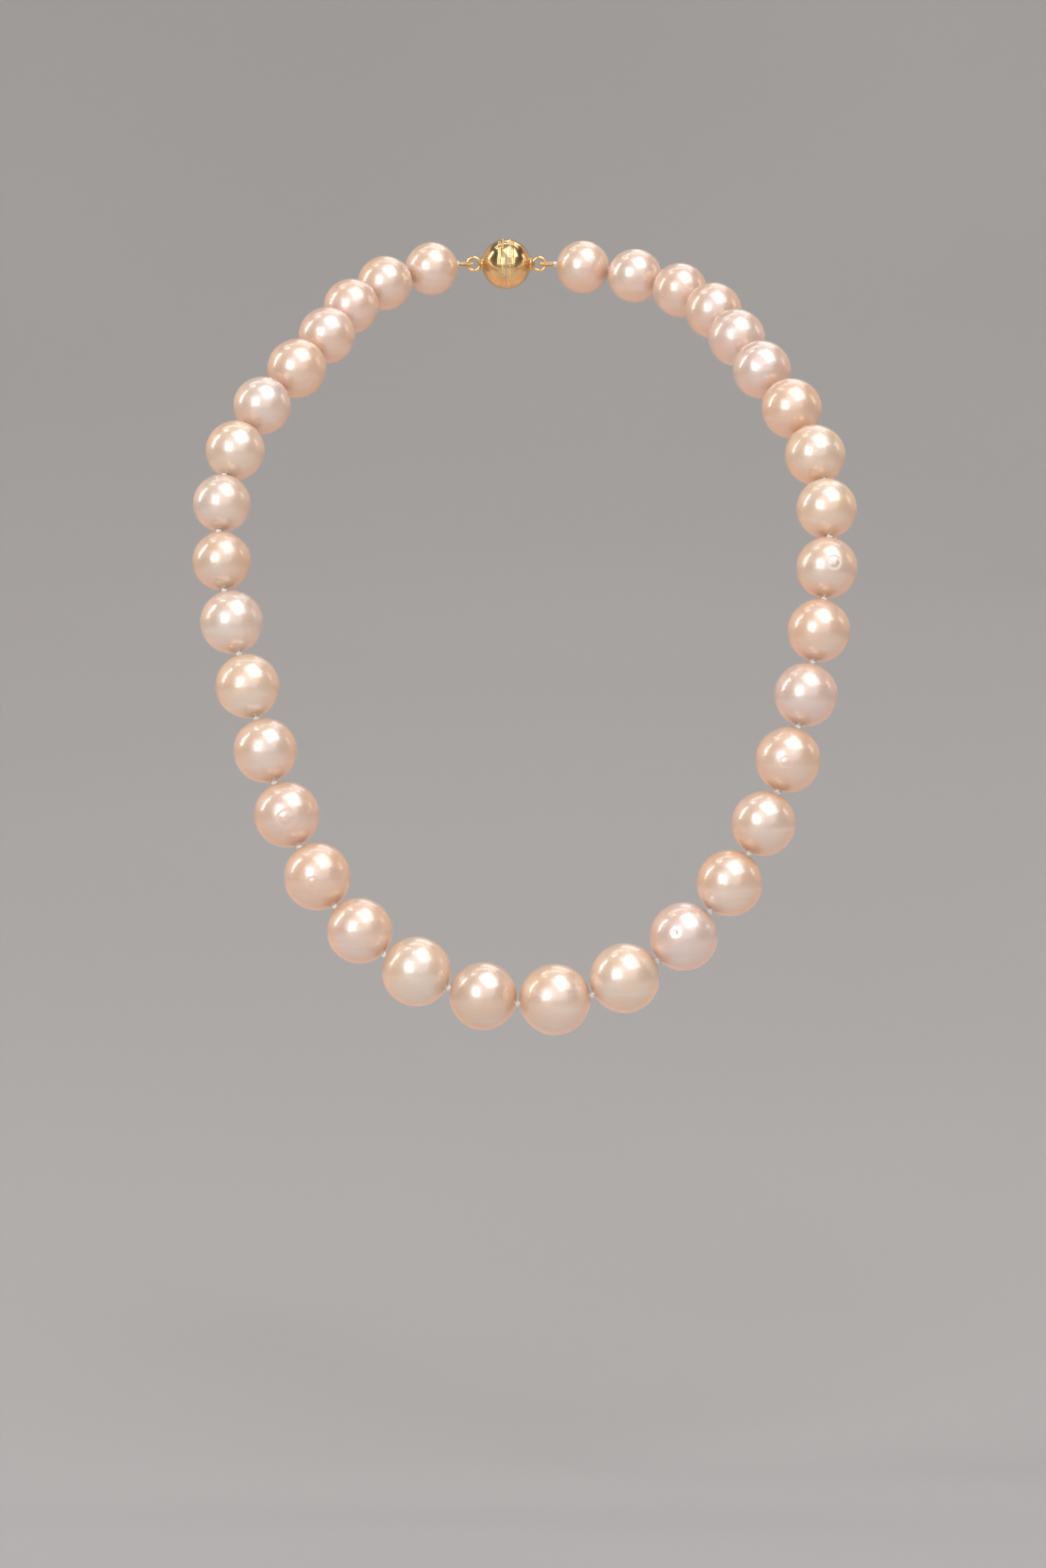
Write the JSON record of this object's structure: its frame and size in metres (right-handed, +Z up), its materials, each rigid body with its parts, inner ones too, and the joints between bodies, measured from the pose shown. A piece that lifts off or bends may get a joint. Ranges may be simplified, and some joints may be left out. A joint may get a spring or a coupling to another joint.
{
  "type": "pearl necklace",
  "caption": "Graduated peach-pink pearl strand, knotted on silk, in the shape it takes round a neck, with a magnetic ball clasp at the nape.",
  "frame": {"origin": "on the neck's axis, level with the clasp at the nape", "axes": "+Z up along the neck's axis; -Y towards the wearer's front; +X to the right when the strand is seen from the front"},
  "size_m": [0.1329, 0.116, 0.1478],
  "materials": {
    "nacre": "gloss",
    "silk": "matte",
    "gold": "polished",
    "coiled_wire": "satin",
    "magnet": "polished"
  },
  "bodies": {
    "strand_front": {"silk_front": "silk"},
    "link_left_1": {"silk_left_1": "silk"},
    "link_right_1": {"silk_right_1": "silk"},
    "link_left_2": {"silk_left_2": "silk"},
    "link_right_2": {"silk_right_2": "silk"},
    "link_left_3": {"silk_left_3": "silk"},
    "link_right_3": {"silk_right_3": "silk"},
    "link_left_4": {"silk_left_4": "silk"},
    "link_right_4": {"silk_right_4": "silk"},
    "link_left_5": {"silk_left_5": "silk"},
    "link_right_5": {"silk_right_5": "silk"},
    "link_left_6": {"silk_left_6": "silk"},
    "link_right_6": {"silk_right_6": "silk"},
    "link_left_7": {"silk_left_7": "silk"},
    "link_right_7": {"silk_right_7": "silk"},
    "tail_left": {"silk_left_8": "silk", "french_wire_left": "coiled_wire"},
    "tail_right": {"silk_right_8": "silk", "french_wire_right": "coiled_wire"},
    "clasp_left": {"clasp_shell_left": "gold", "clasp_magnet_left": "magnet", "clasp_ring_left": "gold"},
    "clasp_right": {"clasp_shell_right": "gold", "clasp_magnet_right": "magnet", "clasp_ring_right": "gold"},
    "pearl_01": {"pearl_01": "nacre"},
    "pearl_02": {"pearl_02": "nacre"},
    "pearl_03": {"pearl_03": "nacre"},
    "pearl_04": {"pearl_04": "nacre"},
    "pearl_05": {"pearl_05": "nacre"},
    "pearl_06": {"pearl_06": "nacre"},
    "pearl_07": {"pearl_07": "nacre"},
    "pearl_08": {"pearl_08": "nacre"},
    "pearl_09": {"pearl_09": "nacre"},
    "pearl_10": {"pearl_10": "nacre"},
    "pearl_11": {"pearl_11": "nacre"},
    "pearl_12": {"pearl_12": "nacre"},
    "pearl_13": {"pearl_13": "nacre"},
    "pearl_14": {"pearl_14": "nacre"},
    "pearl_15": {"pearl_15": "nacre"},
    "pearl_16": {"pearl_16": "nacre"},
    "pearl_17": {"pearl_17": "nacre"},
    "pearl_18": {"pearl_18": "nacre"},
    "pearl_19": {"pearl_19": "nacre"},
    "pearl_20": {"pearl_20": "nacre"},
    "pearl_21": {"pearl_21": "nacre"},
    "pearl_22": {"pearl_22": "nacre"},
    "pearl_23": {"pearl_23": "nacre"},
    "pearl_24": {"pearl_24": "nacre"},
    "pearl_25": {"pearl_25": "nacre"},
    "pearl_26": {"pearl_26": "nacre"},
    "pearl_27": {"pearl_27": "nacre"},
    "pearl_28": {"pearl_28": "nacre"},
    "pearl_29": {"pearl_29": "nacre"},
    "pearl_30": {"pearl_30": "nacre"},
    "pearl_31": {"pearl_31": "nacre"},
    "pearl_32": {"pearl_32": "nacre"},
    "pearl_33": {"pearl_33": "nacre"},
    "pearl_34": {"pearl_34": "nacre"},
    "pearl_35": {"pearl_35": "nacre"}
  },
  "joints": [
    {"name": "bend_left_1", "type": "hinge", "parent": "strand_front", "child": "link_left_1", "pos_m": [-0.0591, -0.03687, -0.07134], "axis": [0, 0, 1], "range_deg": [0, 25]},
    {"name": "bend_left_2", "type": "hinge", "parent": "link_left_1", "child": "link_left_2", "pos_m": [-0.06212, -0.03157, -0.05939], "axis": [0, 0, 1], "range_deg": [0, 25]},
    {"name": "bend_left_3", "type": "hinge", "parent": "link_left_2", "child": "link_left_3", "pos_m": [-0.06345, -0.02586, -0.04827], "axis": [0, 0, 1], "range_deg": [0, 25]},
    {"name": "bend_left_4", "type": "hinge", "parent": "link_left_3", "child": "link_left_4", "pos_m": [-0.06253, -0.0193, -0.03777], "axis": [0, 0, 1], "range_deg": [0, 25]},
    {"name": "bend_left_5", "type": "hinge", "parent": "link_left_4", "child": "link_left_5", "pos_m": [-0.05858, -0.01147, -0.02849], "axis": [0, 0, 1], "range_deg": [0, 25]},
    {"name": "bend_left_6", "type": "hinge", "parent": "link_left_5", "child": "link_left_6", "pos_m": [-0.0523, -0.00336, -0.02131], "axis": [0, 0, 1], "range_deg": [0, 25]},
    {"name": "bend_left_7", "type": "hinge", "parent": "link_left_6", "child": "link_left_7", "pos_m": [-0.04506, 0.0053, -0.01512], "axis": [0, 0, 1], "range_deg": [0, 25]},
    {"name": "bend_left_8", "type": "hinge", "parent": "link_left_7", "child": "tail_left", "pos_m": [-0.04062, 0.0155, -0.00959], "axis": [0, 0, 1], "range_deg": [0, 25]},
    {"name": "bend_right_1", "type": "hinge", "parent": "strand_front", "child": "link_right_1", "pos_m": [0.05719, -0.04066, -0.05975], "axis": [0, 0, -1], "range_deg": [0, 25]},
    {"name": "bend_right_2", "type": "hinge", "parent": "link_right_1", "child": "link_right_2", "pos_m": [0.0584, -0.03464, -0.04826], "axis": [0, 0, -1], "range_deg": [0, 25]},
    {"name": "bend_right_3", "type": "hinge", "parent": "link_right_2", "child": "link_right_3", "pos_m": [0.05763, -0.02724, -0.03776], "axis": [0, 0, -1], "range_deg": [0, 25]},
    {"name": "bend_right_4", "type": "hinge", "parent": "link_right_3", "child": "link_right_4", "pos_m": [0.05444, -0.01872, -0.02859], "axis": [0, 0, -1], "range_deg": [0, 25]},
    {"name": "bend_right_5", "type": "hinge", "parent": "link_right_4", "child": "link_right_5", "pos_m": [0.04888, -0.00987, -0.02092], "axis": [0, 0, -1], "range_deg": [0, 25]},
    {"name": "bend_right_6", "type": "hinge", "parent": "link_right_5", "child": "link_right_6", "pos_m": [0.0431, -0.00047, -0.0148], "axis": [0, 0, -1], "range_deg": [0, 25]},
    {"name": "bend_right_7", "type": "hinge", "parent": "link_right_6", "child": "link_right_7", "pos_m": [0.03931, 0.0103, -0.00978], "axis": [0, 0, -1], "range_deg": [0, 25]},
    {"name": "bend_right_8", "type": "hinge", "parent": "link_right_7", "child": "tail_right", "pos_m": [0.0343, 0.02093, -0.00575], "axis": [0, 0, -1], "range_deg": [0, 25]},
    {"name": "clasp_twist_left", "type": "hinge", "parent": "tail_left", "child": "clasp_left", "pos_m": [-0.006, 0.0385, 0], "axis": [1, 0, 0], "range_deg": [-30, 30]},
    {"name": "clasp_twist_right", "type": "hinge", "parent": "tail_right", "child": "clasp_right", "pos_m": [-0.006, 0.0385, 0], "axis": [1, 0, 0], "range_deg": [-30, 30]},
    {"name": "spin_01", "type": "hinge", "parent": "tail_left", "child": "pearl_01", "pos_m": [-0.0217, 0.03601, -0.0008], "axis": [-0.8985, -0.4178, -0.1346], "continuous": true},
    {"name": "spin_02", "type": "hinge", "parent": "tail_left", "child": "pearl_02", "pos_m": [-0.03131, 0.02955, -0.00327], "axis": [-0.7031, -0.6559, -0.2746], "continuous": true},
    {"name": "spin_03", "type": "hinge", "parent": "tail_left", "child": "pearl_03", "pos_m": [-0.0381, 0.02053, -0.00727], "axis": [-0.4136, -0.8262, -0.3824], "continuous": true},
    {"name": "spin_04", "type": "hinge", "parent": "link_left_7", "child": "pearl_04", "pos_m": [-0.04284, 0.0104, -0.01236], "axis": [-0.3578, -0.821, -0.4449], "continuous": true},
    {"name": "spin_05", "type": "hinge", "parent": "link_left_6", "child": "pearl_05", "pos_m": [-0.04868, 0.00097, -0.01822], "axis": [-0.5622, -0.6729, -0.4809], "continuous": true},
    {"name": "spin_06", "type": "hinge", "parent": "link_left_5", "child": "pearl_06", "pos_m": [-0.05544, -0.00742, -0.0249], "axis": [-0.5018, -0.6476, -0.5733], "continuous": true},
    {"name": "spin_07", "type": "hinge", "parent": "link_left_4", "child": "pearl_07", "pos_m": [-0.06056, -0.01538, -0.03313], "axis": [-0.3096, -0.6132, -0.7267], "continuous": true},
    {"name": "spin_08", "type": "hinge", "parent": "link_left_3", "child": "pearl_08", "pos_m": [-0.06299, -0.02258, -0.04302], "axis": [-0.0735, -0.5284, -0.8458], "continuous": true},
    {"name": "spin_09", "type": "hinge", "parent": "link_left_2", "child": "pearl_09", "pos_m": [-0.06279, -0.02871, -0.05383], "axis": [0.1052, -0.4543, -0.8846], "continuous": true},
    {"name": "spin_10", "type": "hinge", "parent": "link_left_1", "child": "pearl_10", "pos_m": [-0.06061, -0.03422, -0.06537], "axis": [0.2252, -0.3948, -0.8907], "continuous": true},
    {"name": "spin_11", "type": "hinge", "parent": "strand_front", "child": "pearl_11", "pos_m": [-0.05732, -0.03924, -0.07745], "axis": [0.2624, -0.349, -0.8996], "continuous": true},
    {"name": "spin_12", "type": "hinge", "parent": "strand_front", "child": "pearl_12", "pos_m": [-0.05366, -0.04382, -0.08968], "axis": [0.2772, -0.327, -0.9035], "continuous": true},
    {"name": "spin_13", "type": "hinge", "parent": "strand_front", "child": "pearl_13", "pos_m": [-0.04929, -0.04832, -0.10182], "axis": [0.3615, -0.3309, -0.8717], "continuous": true},
    {"name": "spin_14", "type": "hinge", "parent": "strand_front", "child": "pearl_14", "pos_m": [-0.04319, -0.05294, -0.11342], "axis": [0.5114, -0.3315, -0.7928], "continuous": true},
    {"name": "spin_15", "type": "hinge", "parent": "strand_front", "child": "pearl_15", "pos_m": [-0.0347, -0.05724, -0.12343], "axis": [0.7104, -0.2858, -0.6432], "continuous": true},
    {"name": "spin_16", "type": "hinge", "parent": "strand_front", "child": "pearl_16", "pos_m": [-0.02346, -0.06079, -0.13089], "axis": [0.8804, -0.2184, -0.421], "continuous": true},
    {"name": "spin_17", "type": "hinge", "parent": "strand_front", "child": "pearl_17", "pos_m": [-0.01032, -0.06367, -0.13522], "axis": [0.9654, -0.186, -0.1827], "continuous": true},
    {"name": "spin_18", "type": "hinge", "parent": "strand_front", "child": "pearl_18", "pos_m": [0.00375, -0.0653, -0.13556], "axis": [0.9908, -0.0439, 0.1283], "continuous": true},
    {"name": "spin_19", "type": "hinge", "parent": "strand_front", "child": "pearl_19", "pos_m": [0.01744, -0.06472, -0.1314], "axis": [0.8866, 0.1248, 0.4453], "continuous": true},
    {"name": "spin_20", "type": "hinge", "parent": "strand_front", "child": "pearl_20", "pos_m": [0.02902, -0.06261, -0.12351], "axis": [0.7317, 0.1705, 0.66], "continuous": true},
    {"name": "spin_21", "type": "hinge", "parent": "strand_front", "child": "pearl_21", "pos_m": [0.03808, -0.05993, -0.11337], "axis": [0.5659, 0.2145, 0.7961], "continuous": true},
    {"name": "spin_22", "type": "hinge", "parent": "strand_front", "child": "pearl_22", "pos_m": [0.04478, -0.05669, -0.10202], "axis": [0.4155, 0.2619, 0.8711], "continuous": true},
    {"name": "spin_23", "type": "hinge", "parent": "strand_front", "child": "pearl_23", "pos_m": [0.04967, -0.05279, -0.08998], "axis": [0.3057, 0.311, 0.8999], "continuous": true},
    {"name": "spin_24", "type": "hinge", "parent": "strand_front", "child": "pearl_24", "pos_m": [0.05331, -0.04828, -0.07777], "axis": [0.2304, 0.357, 0.9052], "continuous": true},
    {"name": "spin_25", "type": "hinge", "parent": "strand_front", "child": "pearl_25", "pos_m": [0.05602, -0.04328, -0.06574], "axis": [0.1765, 0.3943, 0.9019], "continuous": true},
    {"name": "spin_26", "type": "hinge", "parent": "link_right_1", "child": "pearl_26", "pos_m": [0.0578, -0.03765, -0.05401], "axis": [0.093, 0.4621, 0.8819], "continuous": true},
    {"name": "spin_27", "type": "hinge", "parent": "link_right_2", "child": "pearl_27", "pos_m": [0.05801, -0.03094, -0.04301], "axis": [-0.0602, 0.5751, 0.8159], "continuous": true},
    {"name": "spin_28", "type": "hinge", "parent": "link_right_3", "child": "pearl_28", "pos_m": [0.05604, -0.02298, -0.03318], "axis": [-0.2465, 0.6591, 0.7105], "continuous": true},
    {"name": "spin_29", "type": "hinge", "parent": "link_right_4", "child": "pearl_29", "pos_m": [0.05166, -0.0143, -0.02475], "axis": [-0.4292, 0.6828, 0.5912], "continuous": true},
    {"name": "spin_30", "type": "hinge", "parent": "link_right_5", "child": "pearl_30", "pos_m": [0.04599, -0.00517, -0.01786], "axis": [-0.4577, 0.7449, 0.4855], "continuous": true},
    {"name": "spin_31", "type": "hinge", "parent": "link_right_6", "child": "pearl_31", "pos_m": [0.04121, 0.00491, -0.01229], "axis": [-0.304, 0.8636, 0.4021], "continuous": true},
    {"name": "spin_32", "type": "hinge", "parent": "link_right_7", "child": "pearl_32", "pos_m": [0.0368, 0.01561, -0.00777], "axis": [-0.4035, 0.8556, 0.3243], "continuous": true},
    {"name": "spin_33", "type": "hinge", "parent": "tail_right", "child": "pearl_33", "pos_m": [0.03015, 0.02508, -0.00432], "axis": [-0.6864, 0.6876, 0.2367], "continuous": true},
    {"name": "spin_34", "type": "hinge", "parent": "tail_right", "child": "pearl_34", "pos_m": [0.02088, 0.03226, -0.00194], "axis": [-0.8507, 0.5013, 0.1583], "continuous": true},
    {"name": "spin_35", "type": "hinge", "parent": "tail_right", "child": "pearl_35", "pos_m": [0.01006, 0.03689, -0.00049], "axis": [-0.959, 0.2712, 0.0829], "continuous": true}
  ]
}
